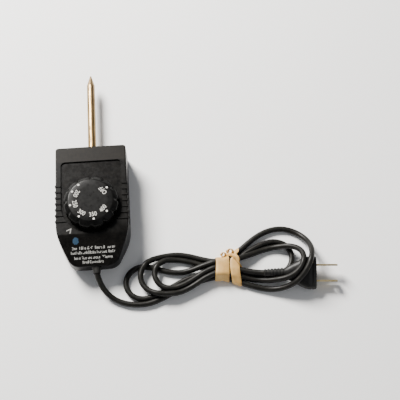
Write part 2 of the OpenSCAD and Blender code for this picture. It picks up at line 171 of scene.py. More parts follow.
def resample(p, step):
    """Equal steps along a Catmull-Rom curve through the points."""
    q, n = [], len(p)
    for i in range(n - 1):
        a, b, c, d = p[max(i - 1, 0)], p[i], p[i + 1], p[min(i + 2, n - 1)]
        for t in np.arange(0, 1, 0.1):
            q.append(0.5 * (2 * b + (c - a) * t + (2 * a - 5 * b + 4 * c - d) * t**2
                            + (3 * b - a - 3 * c + d) * t**3))
    q = np.array(q + [p[-1]])
    s = np.r_[0, np.cumsum(np.linalg.norm(np.diff(q, axis=0), axis=1))]
    u = np.linspace(0, s[-1], int(round(s[-1] / step)) + 1)
    return np.array([np.interp(u, s, q[:, k]) for k in range(3)]).T


def plug_push(p, over):
    """How far each point has to move to leave the plug; points marked over go above it. The body
    narrows from 6 mm behind its face to the relief at 22 mm, which tapers over the next 20 mm."""
    q = (p - PLUG) @ PLUG_AXES
    back = np.clip((-q[:, 0] - 6) / 16, 0, 1)
    tail = np.clip((-q[:, 0] - 22) / 20, 0, 1)
    on_relief = q[:, 0] < -22
    half_width = np.where(on_relief, 4.4 - 1.6 * tail, 13.7 - 6.2 * back)
    half_thick = np.where(on_relief, 4.4 - 1.6 * tail, 6.2 - 1.7 * back)
    dy = np.sign(q[:, 1]) * np.maximum(np.abs(q[:, 1]) - (half_width - half_thick), 0)
    rr = np.maximum(np.hypot(dy, q[:, 2]), 1e-6)
    f = np.where((q[:, 0] > -41) & (q[:, 0] < R), np.maximum(half_thick + R - rr, 0), 0)
    v = np.c_[0 * f, f * dy / rr, f * q[:, 2] / rr] @ PLUG_AXES.T
    up = over & (v[:, 2] < 0.6 * f)
    v[up] = np.c_[0 * f, 0 * f, f][up]
    return v


# how the cord settles, in amounts for one round
STEP = 3.0              # between its points
ROUNDS, CALM = 1500, 120        # all rounds, and the last ones, when tight bends open slower
STIFF, STIFF_LONG = 0.07, 0.02  # straightening over one step, and over three
WEIGHT = 0.03
HOME = 0.02             # pull back to the laid course, seen from above
OPEN, OPEN_CALM = 0.16, 0.08    # how fast a tight bend opens
FOLD_R, LATE_FOLD_R = 19, 18    # radius below which a bend opens, up to LATE of the way and beyond
LATE = 0.36
OVER_UNTIL = 0.62       # up to here the cord is pushed up over the plug, beyond it straight out
PLUG_GIVE = 0.7         # share of the way out of the plug
NEAR = 4                # gap within which two stretches are watched for touching


def lay_cord(p):
    """Lets the laid course settle: it keeps its length, stays a diameter from itself, a radius
    from the plug and the table, sinks under its weight, and opens any bend that is too tight."""
    p = resample(p, STEP)
    n = len(p)
    home = p.copy()
    rest = np.linalg.norm(np.diff(p, axis=0), axis=1).mean()
    # held still: the runs at the band, the first 30 mm, which start inside the housing, and the
    # last 18 mm, at the plug
    free = np.where((p[:, 0] > 95) & (p[:, 0] < 105), 0.0, 1.0)
    free[:int(30 / STEP)] = 0
    free[-int(18 / STEP):] = 0
    free = free[:, None]
    at = np.arange(n) / n
    over = at < OVER_UNTIL
    # the last 60 mm lead into the plug, so the plug doesn't push them
    loose = np.ones((n, 1))
    loose[-int(60 / STEP):] = 0
    sag = np.where(at < LATE, (3 * STEP)**2 / (2 * FOLD_R), (3 * STEP)**2 / (2 * LATE_FOLD_R))[:, None]
    # pairs of points far enough apart along the cord to touch
    I, J = np.triu_indices(n, int(np.ceil(3.2 * D / STEP)))
    for it in range(ROUNDS):
        v = np.zeros_like(p)
        v[2:-2] = -STIFF * (p[:-4] - 4 * p[1:-3] + 6 * p[2:-2] - 4 * p[3:-1] + p[4:])
        v[6:-6] -= STIFF_LONG * (p[:-12] - 4 * p[3:-9] + 6 * p[6:-6] - 4 * p[9:-3] + p[12:])
        v[:, 2] -= WEIGHT
        v[:, :2] += HOME * (home - p)[:, :2]
        p += v * free
        speed = OPEN if it < ROUNDS - CALM else OPEN_CALM
        for o in range(3):
            lap = 0.5 * (p[:-6] + p[6:]) - p[3:-3]
            m = np.linalg.norm(lap, axis=1)[:, None]
            c = speed * lap * np.maximum(1 - sag[3:-3] / np.maximum(m, 1e-6), 0)
            c = c * ((np.arange(len(c)) % 3) == o)[:, None]
            p[3:-3] += c * free[3:-3]
            p[:-6] -= 0.5 * c * free[:-6]
            p[6:] -= 0.5 * c * free[6:]
        if it % 20 == 0:
            d = p[I] - p[J]
            hit = (d * d).sum(1) < (D + NEAR)**2
            i, j = I[hit], J[hit]
        for _ in range(3):
            # length: every other segment, then the rest
            for par in (0, 1):
                a, b = slice(par, n - 1, 2), slice(par + 1, n, 2)
                d = p[b] - p[a]
                l = np.linalg.norm(d, axis=1)[:, None]
                c = 0.5 * (l - rest) / np.maximum(l, 1e-9) * d
                p[a] += c * free[a]
                p[b] -= c * free[b]
            # a diameter apart
            d = p[i] - p[j]
            l = np.linalg.norm(d, axis=1)[:, None]
            c = np.maximum(D - l, 0) / np.maximum(l, 1e-6) * d / np.maximum(free[i] + free[j], 1)
            mv = np.zeros_like(p)
            cnt = np.zeros((n, 1))
            np.add.at(mv, i, c * free[i])
            np.add.at(mv, j, -c * free[j])
            np.add.at(cnt, i, (l < D) * 1.0)
            np.add.at(cnt, j, (l < D) * 1.0)
            p += mv / np.maximum(np.sqrt(cnt), 1)
            p += plug_push(p, over) * free * loose * PLUG_GIVE
            p[:, 2] = np.where(free[:, 0] > 0, np.maximum(p[:, 2], R), p[:, 2])
    return p


CORD = lay_cord(route())


def make_cord():
    """Curve through the settled points; the radius is on the points, so the bevel depth is 1."""
    line = resample(CORD, 2.0) * MM
    cu = bpy.data.curves.new("cord", "CURVE")
    cu.dimensions = "3D"
    cu.bevel_depth = 1.0
    cu.bevel_resolution = 7
    cu.use_fill_caps = True
    sp = cu.splines.new("POLY")
    sp.points.add(len(line) - 1)
    for pt, co in zip(sp.points, line):
        pt.co = (*co, 1)
        pt.radius = R * MM
    sp.use_smooth = True
    ob = bpy.data.objects.new("cord", cu)
    bpy.context.scene.collection.objects.link(ob)
    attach(ob, "root")
    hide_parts("cord_lead", "cord_hank")
    return ob


# ---------------------------------------------------------------- rubber band
BAND_N = 96             # points round the band
WRAP_X, WRAP_W = 97.2, 11       # start and width of the first wrap
TWIST_X, TWIST_W = 109.6, 7.6   # the same for the second
TABLE_GAP = 0.95        # lowest height of the band's inner face


def hull_ring(x, grow):
    """Outline of the cord's runs at x, seen along X, grown outwards, as evenly spaced points."""
    pts = []
    for a, b in zip(CORD[:-1], CORD[1:]):
        if (a[0] - x) * (b[0] - x) <= 0 and abs(a[0] - b[0]) > 1e-6:
            pts.append(a + (b - a) * (x - a[0]) / (b[0] - a[0]))
    pts = np.array(pts)[:, 1:]
    mid = (pts.max(0) + pts.min(0)) / 2
    ang = np.linspace(0, 2 * np.pi, 361)[:-1]
    dirs = np.c_[np.cos(ang), np.sin(ang)]
    sup = (dirs @ (pts - mid).T).max(1) + R + grow
    # support function to outline
    dsup = (np.roll(sup, -1) - np.roll(sup, 1)) / (2 * (ang[1] - ang[0]))
    out = np.c_[np.cos(ang) * sup - np.sin(ang) * dsup, np.sin(ang) * sup + np.cos(ang) * dsup]
    loop = np.r_[out, out[:1]]
    s = np.r_[0, np.cumsum(np.linalg.norm(np.diff(loop, axis=0), axis=1))]
    u = np.linspace(0, s[-1], BAND_N, endpoint=False)
    out = np.c_[np.interp(u, s, loop[:, 0]), np.interp(u, s, loop[:, 1])] + mid
    out[:, 1] = np.maximum(out[:, 1], TABLE_GAP)
    return out


def ribbon(rows, thick):
    """Flat band from rows of points, one row per edge-to-edge step; rows run round the bundle."""
    faces = []
    grid = np.array(rows)
    m, n = grid.shape[:2]
    du = np.roll(grid, -1, 1) - np.roll(grid, 1, 1)
    dv = np.gradient(grid, axis=0)
    nor = np.cross(du, dv)
    nor /= np.maximum(np.linalg.norm(nor, axis=2), 1e-9)[:, :, None]
    mid = grid.reshape(-1, 3).mean(0)
    if ((grid - mid) * nor).sum() < 0:
        nor = -nor
    # the edges thin out a little
    edge = np.ones(m)
    edge[[0, -1]] = 0.45
    outer = grid + nor * (thick * edge)[:, None, None]
    verts = [tuple(p) for layer in (grid, outer) for row in layer for p in row]
    o = n * m
    for i in range(m - 1):
        for k in range(n):
            q = (k + 1) % n
            faces.append((i * n + k, (i + 1) * n + k, (i + 1) * n + q, i * n + q))
            faces.append((o + i * n + k, o + i * n + q, o + (i + 1) * n + q, o + (i + 1) * n + k))
    for i, flip in ((0, False), (m - 1, True)):
        for k in range(n):
            q = (k + 1) % n
            f = (i * n + k, i * n + q, o + i * n + q, o + i * n + k)
            faces.append(f[::-1] if flip else f)
    return verts, faces


def strip(path, across, width, thick):
    """Open ribbon along a path; across gives the direction of its width at each point."""
    path, across = np.array(path, float), np.array(across, float)
    way = np.gradient(path, axis=0)
    h, e = width / 2, thick / 2
    sec = [(-h, -e * .5), (-h + .25, -e), (h - .25, -e), (h, -e * .5), (h, e * .5), (h - .25, e),
           (-h + .25, e), (-h, e * .5)]
    rings = []
    for p, w, a in zip(path, way, across):
        a = a - w * (a @ w) / (w @ w)
        a /= np.linalg.norm(a)
        t = np.cross(w, a)
        t /= np.linalg.norm(t)
        rings.append([p + a * u + t * v for u, v in sec])
    return skin(rings)


def make_band():
    """Two wraps round the hank, the strand that crosses between them, and two curls."""
    parts = []
    u = np.arange(BAND_N) / BAND_N
    # first wrap, wide and flat
    rows = []
    for t in np.linspace(0, 1, 9):
        ring = hull_ring(WRAP_X + WRAP_W * t, 0.12)
        skew = 0.9 * np.cos(2 * np.pi * (u - 0.1))
        lift = 0.35 * max(0, abs(2 * t - 1) - 0.8) / 0.2
        x = WRAP_X + WRAP_W * t + skew * (1 - 0.4 * t)
        mid = ring.mean(0)
        ring = mid + (ring - mid) * (1 + lift / 12)
        rows.append(np.c_[x, ring])
    parts.append(ribbon(rows, 0.85))
    # second wrap, narrower, pinched where it twists
    rows = []
    pinch = np.exp(-((u - 0.13) / 0.035)**2) * 0.55
    for t in np.linspace(0, 1, 7):
        ring = hull_ring(TWIST_X + TWIST_W * t, 0.3)
        wave = 0.5 * np.sin(2 * np.pi * 2 * u + 1)
        x = TWIST_X + TWIST_W * (0.5 + (t - 0.5) * (1 - pinch)) + wave
        rows.append(np.c_[x, ring])
    parts.append(ribbon(rows, 0.95))
    # the crossing strand between the wraps, on its edge
    top = hull_ring(110, 1.6)
    k0 = int(np.argmax(top[:, 0]))
    step = 1 if top[(k0 + 3) % BAND_N][1] > top[k0][1] else -1
    path, across = [], []
    for t in np.linspace(0, 1, 15):
        x = 106.5 + 11.6 * t
        ring = hull_ring(x, 1.35 + 0.9 * math.sin(math.pi * t) - 3.4 * max(0, t - 0.82) / 0.18)
        k = int(round(k0 + step * (4 + 24 * t))) % BAND_N
        path.append((x, ring[k][0], ring[k][1]))
        mid = ring.mean(0)
        up = np.array([0.0, *(ring[k] - mid)])
        across.append(up / np.linalg.norm(up) + np.array([0.25, 0, 0]))
    parts.append(strip(path, across, 2.6, 0.9))
    # two curls where the band doubles back at the far side, open towards the top
    axis = np.array([-0.34, -0.30, 0.89])
    e1 = np.cross(axis, (0, 1, 0))
    e1 /= np.linalg.norm(e1)
    e2 = np.cross(axis, e1)
    for x, size, wide in ((104.6, 1.9, 3.4), (110.4, 2.5, 5.0)):
        ring = hull_ring(x, 0.6)
        y, z = ring[(k0 + step * 2) % BAND_N]
        mid = np.array([x, y + 1.3, z + 2.2])
        path = []
        for t in np.linspace(0, 1, 20):
            a = -0.5 + 2.25 * math.pi * t
            r = size * (1.08 - 0.45 * t)
            path.append(mid + e1 * r * math.cos(a) + e2 * r * math.sin(a))
        parts.append(strip(path, [axis] * len(path), wide, 0.8))
    verts, faces = [], []
    for v, f in parts:
        o = len(verts)
        verts += v
        faces += [tuple(i + o for i in g) for g in f]
    ob = add_mesh("band", verts, faces)
    sharpen(ob, 50)
    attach(ob, "root")
    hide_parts("rubber_band")
    return ob


# ---------------------------------------------------------------- plug
def make_plug():
    """Plug body and ribbed relief: a superellipse at each x behind the front face."""
    # x, half width, half thickness, exponent
    secs = [(0.0, 12.3, 4.8, 3.2), (-0.25, 12.9, 5.4, 3.2), (-0.9, 13.3, 5.8, 3.2), (-2.2, 13.5, 6.0, 3.2),
            (-2.9, 13.5, 6.0, 3.2), (-3.3, 13.1, 5.6, 3.2), (-3.9, 13.1, 5.6, 3.2), (-4.3, 13.4, 5.9, 3.2),
            (-7, 13.2, 5.9, 3.2), (-10, 12.2, 5.7, 3.1), (-13, 10.7, 5.4, 3), (-16, 9.1, 5.0, 2.8),
            (-19, 7.6, 4.7, 2.6), (-21.5, 6.3, 4.5, 2.4), (-23.5, 5.1, 4.3, 2.2), (-25, 4.4, 4.2, 2)]
    # six ribs
    for k in range(6):
        x, r = -25.8 - 2.7 * k, 4.15 - 0.2 * k
        secs += [(x, r, r, 2), (x - 0.15, r - 0.55, r - 0.55, 2), (x - 1.0, r - 0.6, r - 0.6, 2),
                 (x - 1.15, r - 0.05, r - 0.05, 2), (x - 2.4, r - 0.15, r - 0.15, 2)]
    secs += [(-41.6, 2.85, 2.85, 2), (-42.0, 2.6, 2.6, 2), (-42.1, 2.32, 2.32, 2)]
    rings = []
    for x, w, t, e in secs:
        ring = []
        for a in np.linspace(0, 2 * np.pi, 64, endpoint=False):
            c, s = math.cos(a), math.sin(a)
            y = w * math.copysign(abs(c) ** (2 / e), c)
            z = t * math.copysign(abs(s) ** (2 / e), s)
            ring.append(tuple(PLUG + PLUG_AXES @ np.array([x, y, z])))
        rings.append(ring)
    ob = add_mesh("plug", *skin(rings[::-1]))
    sharpen(ob, 40)
    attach(ob, "root")
    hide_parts("plug_body", "plug_relief")
    return ob


# ---------------------------------------------------------------- dial
def make_knob():
    """Twelve-lobed knob, turned about the dial's axis."""
    n, lobes = 288, 12
    th = np.linspace(0, 2 * np.pi, n, endpoint=False)
    dip = np.maximum(0, (np.cos(lobes * th) - 0.55) / 0.45) ** 1.2
    # z, radius between the notches, depth of the notches
    prof = [(27.4, 21.2, 0.6), (27.4, 21.8, 1.2), (27.7, 22.2, 1.3), (31, 22.25, 1.35), (33.6, 22.1, 1.35),
            (34.3, 21.75, 1.3), (34.9, 21.1, 1.1), (36.1, 19.4, 0.5), (36.6, 18.7, 0.15), (36.85, 18.2, 0),
            (36.95, 17.6, 0), (36.95, 12, 0), (36.95, 4, 0)]
    rings = [[((r - d * k) * math.cos(a), DIAL_Y + (r - d * k) * math.sin(a), z) for a, k in zip(th, dip)]
             for z, r, d in prof]
    ob = add_mesh("knob", *skin(rings))
    sharpen(ob, 38)
    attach(ob, "dial")
    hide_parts("dial_knob")
    return ob


INK = 0.05              # thickness of the print
PROUD = 0.03            # how far the housing's print stands above its surface
DIAL_PRINT_Z = 36.97    # top of the dial's print, 0.02 mm above its face


def printed(ob, body):
    """Gives flat marks the thickness of a layer of ink, downwards, and puts them on a body."""
    ink = ob.modifiers.new("ink", "SOLIDIFY")
    ink.thickness = INK * MM
    ink.offset = -1
    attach(ob, body)
    return ob


def text_mesh(body, size):
    """Flat text as points and faces, centred on the origin, its strokes a little thinned."""
    cu = bpy.data.curves.new("t", "FONT")
    cu.body = body
    cu.size = size
    cu.align_x = "CENTER"
    cu.align_y = "CENTER"
    cu.offset = -0.012
    cu.resolution_u = 3
    ob = bpy.data.objects.new("t", cu)
    bpy.context.scene.collection.objects.link(ob)
    me = bpy.data.meshes.new_from_object(ob.evaluated_get(bpy.context.evaluated_depsgraph_get()))
    bpy.data.objects.remove(ob)
    verts = [tuple(v.co) for v in me.vertices]
    faces = [tuple(p.vertices) for p in me.polygons]
    bpy.data.meshes.remove(me)
    return verts, faces


def make_dial_print():
    """Dots and generic settings round the dial, as thin print on its face."""
    verts, faces = [], []
    dot_ring, dot_r = 16.8, 0.85
    text_ring, text_size, narrow = 12.9, 5.2, 0.82
    # the dot without a label is a setting whose word can't be made out in the photograph
    marks = [(36.9, "OFF"), (124.6, None), (150.7, "200"), (192.5, "250"), (235.5, "300"), (278, "350"),
             (320.5, "400")]
    z = DIAL_PRINT_Z
    for deg, label in marks:
        a = math.radians(deg)
        cx, cy = dot_ring * math.cos(a), DIAL_Y + dot_ring * math.sin(a)
        o = len(verts)
        verts += [(cx + dot_r * math.cos(t), cy + dot_r * math.sin(t), z)
                  for t in np.linspace(0, 2 * np.pi, 24, endpoint=False)]
        faces.append(tuple(range(o, o + 24)))
        if label:
            tv, tf = text_mesh(label, text_size)
            # the tops of the letters point at the dial's middle
            ux, uy = (-math.cos(a), -math.sin(a))
            rx, ry = (uy, -ux)
            bx, by = text_ring * math.cos(a), DIAL_Y + text_ring * math.sin(a)
            o = len(verts)
            verts += [(bx + rx * x * narrow + ux * y, by + ry * x * narrow + uy * y, z)
                      for x, y, _ in tv]
            faces += [tuple(i + o for i in f) for f in tf]
    return printed(add_mesh("dial_print", verts, faces, smooth=False), "dial")


# ---------------------------------------------------------------- print on the housing
def slope_z(y):
    """Height of the sloped label area."""
    return TOP_Z + SLOPE * (y - CREASE_Y)


def glyph(rng, w, h, t):
    """Strokes of a made-up character, as boxes (x0, y0, x1, y1) in a cell w by h."""
    mid = 0.5 * h
    strokes = [(0, 0, t, h), (w - t, 0, w, mid), (w - t, mid, w, h), (0, h - t, w, h),
               (0, mid - t / 2, w, mid + t / 2), (0, 0, w, t)]
    keep = rng.random(6) < (0.8, 0.5, 0.4, 0.45, 0.4, 0.45)
    keep[0] |= not keep[1:3].any()
    return [s for s, k in zip(strokes, keep) if k]


def make_label():
    """Four rows of made-up characters that stand for small print, on the sloped end."""
    rng = np.random.default_rng(7)
    verts, faces = [], []
    stroke, tall, low = 0.36, 2.1, 1.45
    # y of each row, and where its words start and end
    rows = [(-76.9, [(-16.9, -12.2), (-10.9, 0.3), (1.5, 9.5), (11, 17.5)]),
            (-80.2, [(-17.9, 2.1), (2.9, 11.3), (12.1, 18.5)]),
            (-84.1, [(-15.4, -10.2), (-9.4, 6.2), (7, 15.4)]),
            (-87.3, [(-9, -4), (-3.2, 8.8)])]
    for y, words in rows:
        for x0, x1 in words:
            x, first = x0, True
            while x < x1 - 0.8:
                w = rng.uniform(0.85, 1.2)
                h = tall if first or rng.random() < 0.25 else low
                for a, b, c, d in glyph(rng, w, h, stroke):
                    o = len(verts)
                    for px, py in ((x + a, b), (x + c, b), (x + c, d), (x + a, d)):
                        py = y - 1.0 + py
                        verts.append((px, py, slope_z(py) + PROUD))
                    faces.append((o, o + 1, o + 2, o + 3))
                x, first = x + w + stroke, False
    return printed(add_mesh("label_print", verts, faces, smooth=False), "root")


def make_index():
    """Index chevron beside the dial, pointing at its axis."""
    a = math.radians(230.5)
    out = np.array([math.cos(a), math.sin(a)])
    side = np.array([-out[1], out[0]])
    c = np.array([0, DIAL_Y]) + out * 27.6
    # distance outwards and sideways from c
    shape = [(-1.6, 0), (2.2, 2.1), (3.1, 1.6), (0.06, 0), (3.1, -1.6), (2.2, -2.1)]
    pts = [c + out * u + side * v for u, v in shape]
    ob = add_mesh("index_mark", [(x, y, TOP_Z + PROUD) for x, y in pts],
                  [(3, 2, 1, 0), (5, 4, 3, 0)], smooth=False)
    return printed(ob, "root")


def make_spot():
    """A plain blue mark on the label: a small ragged spot."""
    rng = np.random.default_rng(3)
    n = 26
    cx, cy = -13.6, -71.3
    rx, ry = 2.5, 2.9
    verts = []
    for t in np.linspace(0, 2 * np.pi, n, endpoint=False):
        k = rng.uniform(0.82, 1.08)
        y = cy + ry * k * math.sin(t)
        verts.append((cx + rx * k * math.cos(t), y, slope_z(y) + PROUD))
    ob = add_mesh("blue_spot", verts, [tuple(range(n))], smooth=False)
    return printed(ob, "root")


# ---------------------------------------------------------------- housing shells with rounded edges
def round_edges(bm, width, segments, wanted):
    """Bevels the sharp edges that are wanted."""
    edges = [e for e in bm.edges if len(e.link_faces) == 2
             and e.calc_face_angle(0) > math.radians(32) and wanted(e)]
    bmesh.ops.bevel(bm, geom=edges, offset=width * MM, segments=segments, profile=0.5,
                    affect="EDGES", clamp_overlap=True)


def rounded_shell(node, small, big=None):
    """Copy of a CAD shell with its sharp edges rounded: first those that outer_top picks, by
    big, and then what is left, by small."""
    bm = bmesh.new()
    bm.from_mesh(NODES[node].data)
    bmesh.ops.remove_doubles(bm, verts=bm.verts, dist=2e-6)
    bmesh.ops.dissolve_limit(bm, angle_limit=math.radians(0.6), verts=bm.verts, edges=bm.edges)
    if big:
        round_edges(bm, big, 5, outer_top)
    round_edges(bm, small, 2, lambda e: e.calc_length() > 0.35 * MM)
    me = bpy.data.meshes.new(node + "_moulded")
    bm.to_mesh(me)
    bm.free()
    ob = bpy.data.objects.new(node + "_moulded", me)
    bpy.context.scene.collection.objects.link(ob)
    sharpen(ob, 30)
    flat = ob.modifiers.new("flat_faces", "WEIGHTED_NORMAL")
    flat.keep_sharp = True
    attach(ob, "root")
    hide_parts(node)
    return ob


def outer_top(e):
    """The edge between the walls and the top, all round the upper shell, without the recess's
    rim and the crease."""
    recess, recess_front = 25.6, -0.8
    for v in e.verts:
        x, y, z = (c / MM for c in v.co)
        top = TOP_Z if y > CREASE_Y else slope_z(y)
        if abs(z - top) > 0.06:
            return False
        if math.hypot(x, y - DIAL_Y) < recess or (abs(x) < recess and DIAL_Y < y < recess_front):
            return False
    a, b = (v.co / MM for v in e.verts)
    return not (abs(a.y - CREASE_Y) < 0.1 and abs(b.y - CREASE_Y) < 0.1)


# ---------------------------------------------------------------- materials
class Shader:
    """A Principled material in object coordinates, which are in metres."""

    def __init__(self, name):
        self.mat = bpy.data.materials.new(name)
        self.mat.use_nodes = True
        self.t = self.mat.node_tree
        self.bsdf = self.t.nodes["Principled BSDF"]
        self.pos = self.node("ShaderNodeTexCoord").outputs["Object"]

    def node(self, kind, **props):
        n = self.t.nodes.new(kind)
        for k, v in props.items():
            setattr(n, k, v)
        return n

    def link(self, value, socket):
        if hasattr(value, "is_linked"):
            self.t.links.new(value, socket)
        else:
            socket.default_value = value

    def set(self, **values):
        for k, v in values.items():
            self.bsdf.inputs[k.replace("_", " ")].default_value = v

    def noise(self, scale, detail=3.0, rough=0.55, stretch=None, seed=0.0):
        n = self.node("ShaderNodeTexNoise", noise_dimensions="3D")
        v = self.pos
        if stretch or seed:
            m = self.node("ShaderNodeMapping")
            m.inputs["Scale"].default_value = stretch or (1, 1, 1)
            m.inputs["Location"].default_value = (seed, seed * 0.7, seed * 0.3)
            self.link(v, m.inputs["Vector"])
            v = m.outputs["Vector"]
        self.link(v, n.inputs["Vector"])
        n.inputs["Scale"].default_value = scale
        n.inputs["Detail"].default_value = detail
        n.inputs["Roughness"].default_value = rough
        return n.outputs["Fac"]

    def ramp(self, value, lo, hi, out_lo=0.0, out_hi=1.0):
        m = self.node("ShaderNodeMapRange")
        self.link(value, m.inputs["Value"])
        for k, v in (("From Min", lo), ("From Max", hi), ("To Min", out_lo), ("To Max", out_hi)):
            m.inputs[k].default_value = v
        return m.outputs["Result"]

    def math(self, op, a, b=0.0):
        m = self.node("ShaderNodeMath", operation=op)
        self.link(a, m.inputs[0])
        self.link(b, m.inputs[1])
        return m.outputs[0]

    def axis(self, k):
        s = self.node("ShaderNodeSeparateXYZ")
        self.link(self.pos, s.inputs[0])
        return s.outputs[k]

    def facing_up(self):
        g = self.node("ShaderNodeNewGeometry")
        s = self.node("ShaderNodeSeparateXYZ")
        self.link(g.outputs["Normal"], s.inputs[0])
        return s.outputs[2]

    def mix(self, fac, a, b):
        m = self.node("ShaderNodeMix", data_type="RGBA")
        self.link(fac, m.inputs[0])
        self.link(a if hasattr(a, "is_linked") else (*a, 1), m.inputs[6])
        self.link(b if hasattr(b, "is_linked") else (*b, 1), m.inputs[7])
        return m.outputs[2]

    def bump(self, height, strength, distance):
        b = self.node("ShaderNodeBump")
        b.inputs["Strength"].default_value = strength
        b.inputs["Distance"].default_value = distance
        self.link(height, b.inputs["Height"])
        self.link(b.outputs["Normal"], self.bsdf.inputs["Normal"])

    def done(self, color, rough):
        self.link(color, self.bsdf.inputs["Base Color"])
        self.link(rough, self.bsdf.inputs["Roughness"])
        return self.mat


BUMP = 0.0002           # distance of every bump, m


def plain(name, base, other, rough, scale, bump, metallic=0.0, wear=None, coat=0.0, gloss=0.5):
    """Base colour that drifts towards another one, uneven gloss, and a fine bump."""
    s = Shader(name)
    s.set(Metallic=metallic, Specular_IOR_Level=gloss)
    if coat:
        s.set(Coat_Weight=coat, Coat_Roughness=0.2)
    col = s.mix(s.ramp(s.noise(scale * 0.25, 4), 0.35, 0.7), base, other)
    if wear:
        col = s.mix(s.ramp(s.noise(scale * 0.6, 5, 0.7, seed=3.1), 0.60, 0.72), col, wear)
    r = s.ramp(s.noise(scale * 0.5, 3, seed=1.7), 0.3, 0.7, rough - 0.07, rough + 0.09)
    s.bump(s.noise(scale, 3), bump, BUMP)
    return s.done(col, r)


def housing_material():
    s = Shader("black_plastic")
    s.set(Specular_IOR_Level=0.09)
    y, z = s.axis(1), s.axis(2)
    up = s.ramp(s.facing_up(), 0.6, 0.95)
    # the matte strip in front of the recess is painted a little lighter and browner: partly dust, partly
    # painted sheen where it catches the key light
    front = s.math("MULTIPLY", s.ramp(y, -0.0014, -0.0008), up)
    dust = s.ramp(s.noise(260, 5, 0.65), 0.38, 0.72)
    grit = s.ramp(s.noise(1500, 2, seed=2.0), 0.58, 0.75)
    col = s.mix(s.ramp(s.noise(130, 4), 0.3, 0.75), (0.0022, 0.0021, 0.002), (0.0042, 0.004, 0.0037))
    col = s.mix(s.math("MULTIPLY", s.math("MULTIPLY", up, dust), 0.06), col, (0.05, 0.042, 0.034))
    # painted sheen and dust: the front strip drifts towards a lighter brownish grey
    col = s.mix(s.math("MULTIPLY", front, s.ramp(s.noise(420, 4, seed=5.0), 0.25, 0.7, 0.2, 0.8)), col,
                (0.0105, 0.0086, 0.0065))
    col = s.mix(s.math("MULTIPLY", grit, 0.06), col, (0.06, 0.052, 0.043))
    # the recess is glossy, the rest satin
    recess = s.math("MULTIPLY", s.ramp(z, 0.0272, 0.0274, 1, 0), up)
    rough = s.ramp(s.noise(350, 3, seed=1.0), 0.3, 0.7, 0.28, 0.37)
    rough = s.math("SUBTRACT", rough, s.math("MULTIPLY", recess, 0.06))
    rough = s.math("ADD", rough, s.math("MULTIPLY", front, 0.12))
    s.bump(s.noise(2600, 2), 0.04, BUMP)
    return s.done(col, rough)


def knob_material():
    s = Shader("knob_plastic")
    s.set(Specular_IOR_Level=0.11)
    col = s.mix(s.ramp(s.noise(300, 4), 0.35, 0.7), (0.0022, 0.0022, 0.0021), (0.0044, 0.0043, 0.004))
    scuff = s.ramp(s.noise(900, 5, 0.75, stretch=(1, 1, 0.3), seed=4.0), 0.62, 0.74)
    col = s.mix(s.math("MULTIPLY", scuff, 0.06), col, (0.06, 0.054, 0.045))
    rough = s.ramp(s.noise(500, 3, seed=1.0), 0.3, 0.7, 0.26, 0.36)
    s.bump(s.noise(2200, 2), 0.03, BUMP)
    return s.done(col, rough)


def print_material(name, base, worn, patchy=0.4):
    s = Shader(name)
    gone = s.ramp(s.noise(1400, 4, 0.7), 0.52, 0.74)
    col = s.mix(s.math("MULTIPLY", gone, patchy), base, worn)
    s.bump(s.noise(2400, 2, seed=1.0), 0.05, BUMP)
    return s.done(col, s.ramp(s.noise(700, 2), 0.3, 0.7, 0.45, 0.65))


def probe_material():
    s = Shader("probe_metal")
    s.set(Metallic=1.0)
    y = s.axis(1)
    streak = s.noise(420, 5, 0.65, stretch=(1, 0.12, 1))
    col = s.mix(s.ramp(streak, 0.35, 0.68), (0.20, 0.125, 0.05), (0.37, 0.255, 0.12))
    # heat tint grows towards the tip, and the colour is darker near the root, where the probe leaves the
    # housing
    col = s.mix(s.ramp(s.math("ADD", y, s.math("MULTIPLY", s.noise(90, 3), 0.02)), 0.066, 0.104, 0, 0.5),
                col, (0.55, 0.40, 0.24))
    stain = s.ramp(s.noise(330, 5, 0.7, stretch=(1, 0.35, 1), seed=6.0), 0.55, 0.68)
    col = s.mix(s.math("MULTIPLY", stain, 0.8), col, (0.03, 0.018, 0.008))
    col = s.mix(s.ramp(y, 0.0125, 0.019, 0.75, 0), col, (0.10, 0.065, 0.03))
    rough = s.math("ADD", s.ramp(streak, 0.3, 0.7, 0.26, 0.42), s.math("MULTIPLY", stain, 0.2))
    s.bump(s.noise(900, 4, stretch=(1, 0.08, 1)), 0.25, BUMP)
    return s.done(col, rough)


def cord_material():
    s = Shader("cord_jacket")
    s.set(Specular_IOR_Level=0.15)
    col = s.mix(s.ramp(s.noise(220, 4), 0.3, 0.72), (0.0038, 0.0037, 0.0034), (0.009, 0.0085, 0.0072))
    patches = s.ramp(s.noise(520, 5, 0.7, seed=2.0), 0.4, 0.7)
    dust = s.math("MULTIPLY", s.ramp(s.facing_up(), 0.1, 0.95), patches)
    col = s.mix(s.math("MULTIPLY", dust, 0.09), col, (0.085, 0.078, 0.062))
    rough = s.ramp(s.noise(400, 4, seed=1.0), 0.3, 0.7, 0.34, 0.46)
    s.bump(s.noise(1700, 3), 0.07, BUMP)
    return s.done(col, rough)


def band_material():
    s = Shader("band_rubber")
    s.set(Subsurface_Weight=0.12, Subsurface_Radius=(0.004, 0.002, 0.001), Subsurface_Scale=0.3)
    col = s.mix(s.ramp(s.noise(180, 4), 0.3, 0.7), (0.60, 0.37, 0.115), (0.47, 0.27, 0.075))
    grime = s.ramp(s.noise(420, 5, 0.7, stretch=(1, 0.4, 0.4), seed=3.0), 0.56, 0.74)
    col = s.mix(s.math("MULTIPLY", grime, 0.35), col, (0.24, 0.12, 0.04))
    rough = s.ramp(s.noise(350, 3, seed=1.0), 0.3, 0.7, 0.42, 0.6)
    s.bump(s.noise(1300, 3, stretch=(1, 0.25, 0.25)), 0.3, BUMP)
    return s.done(col, rough)


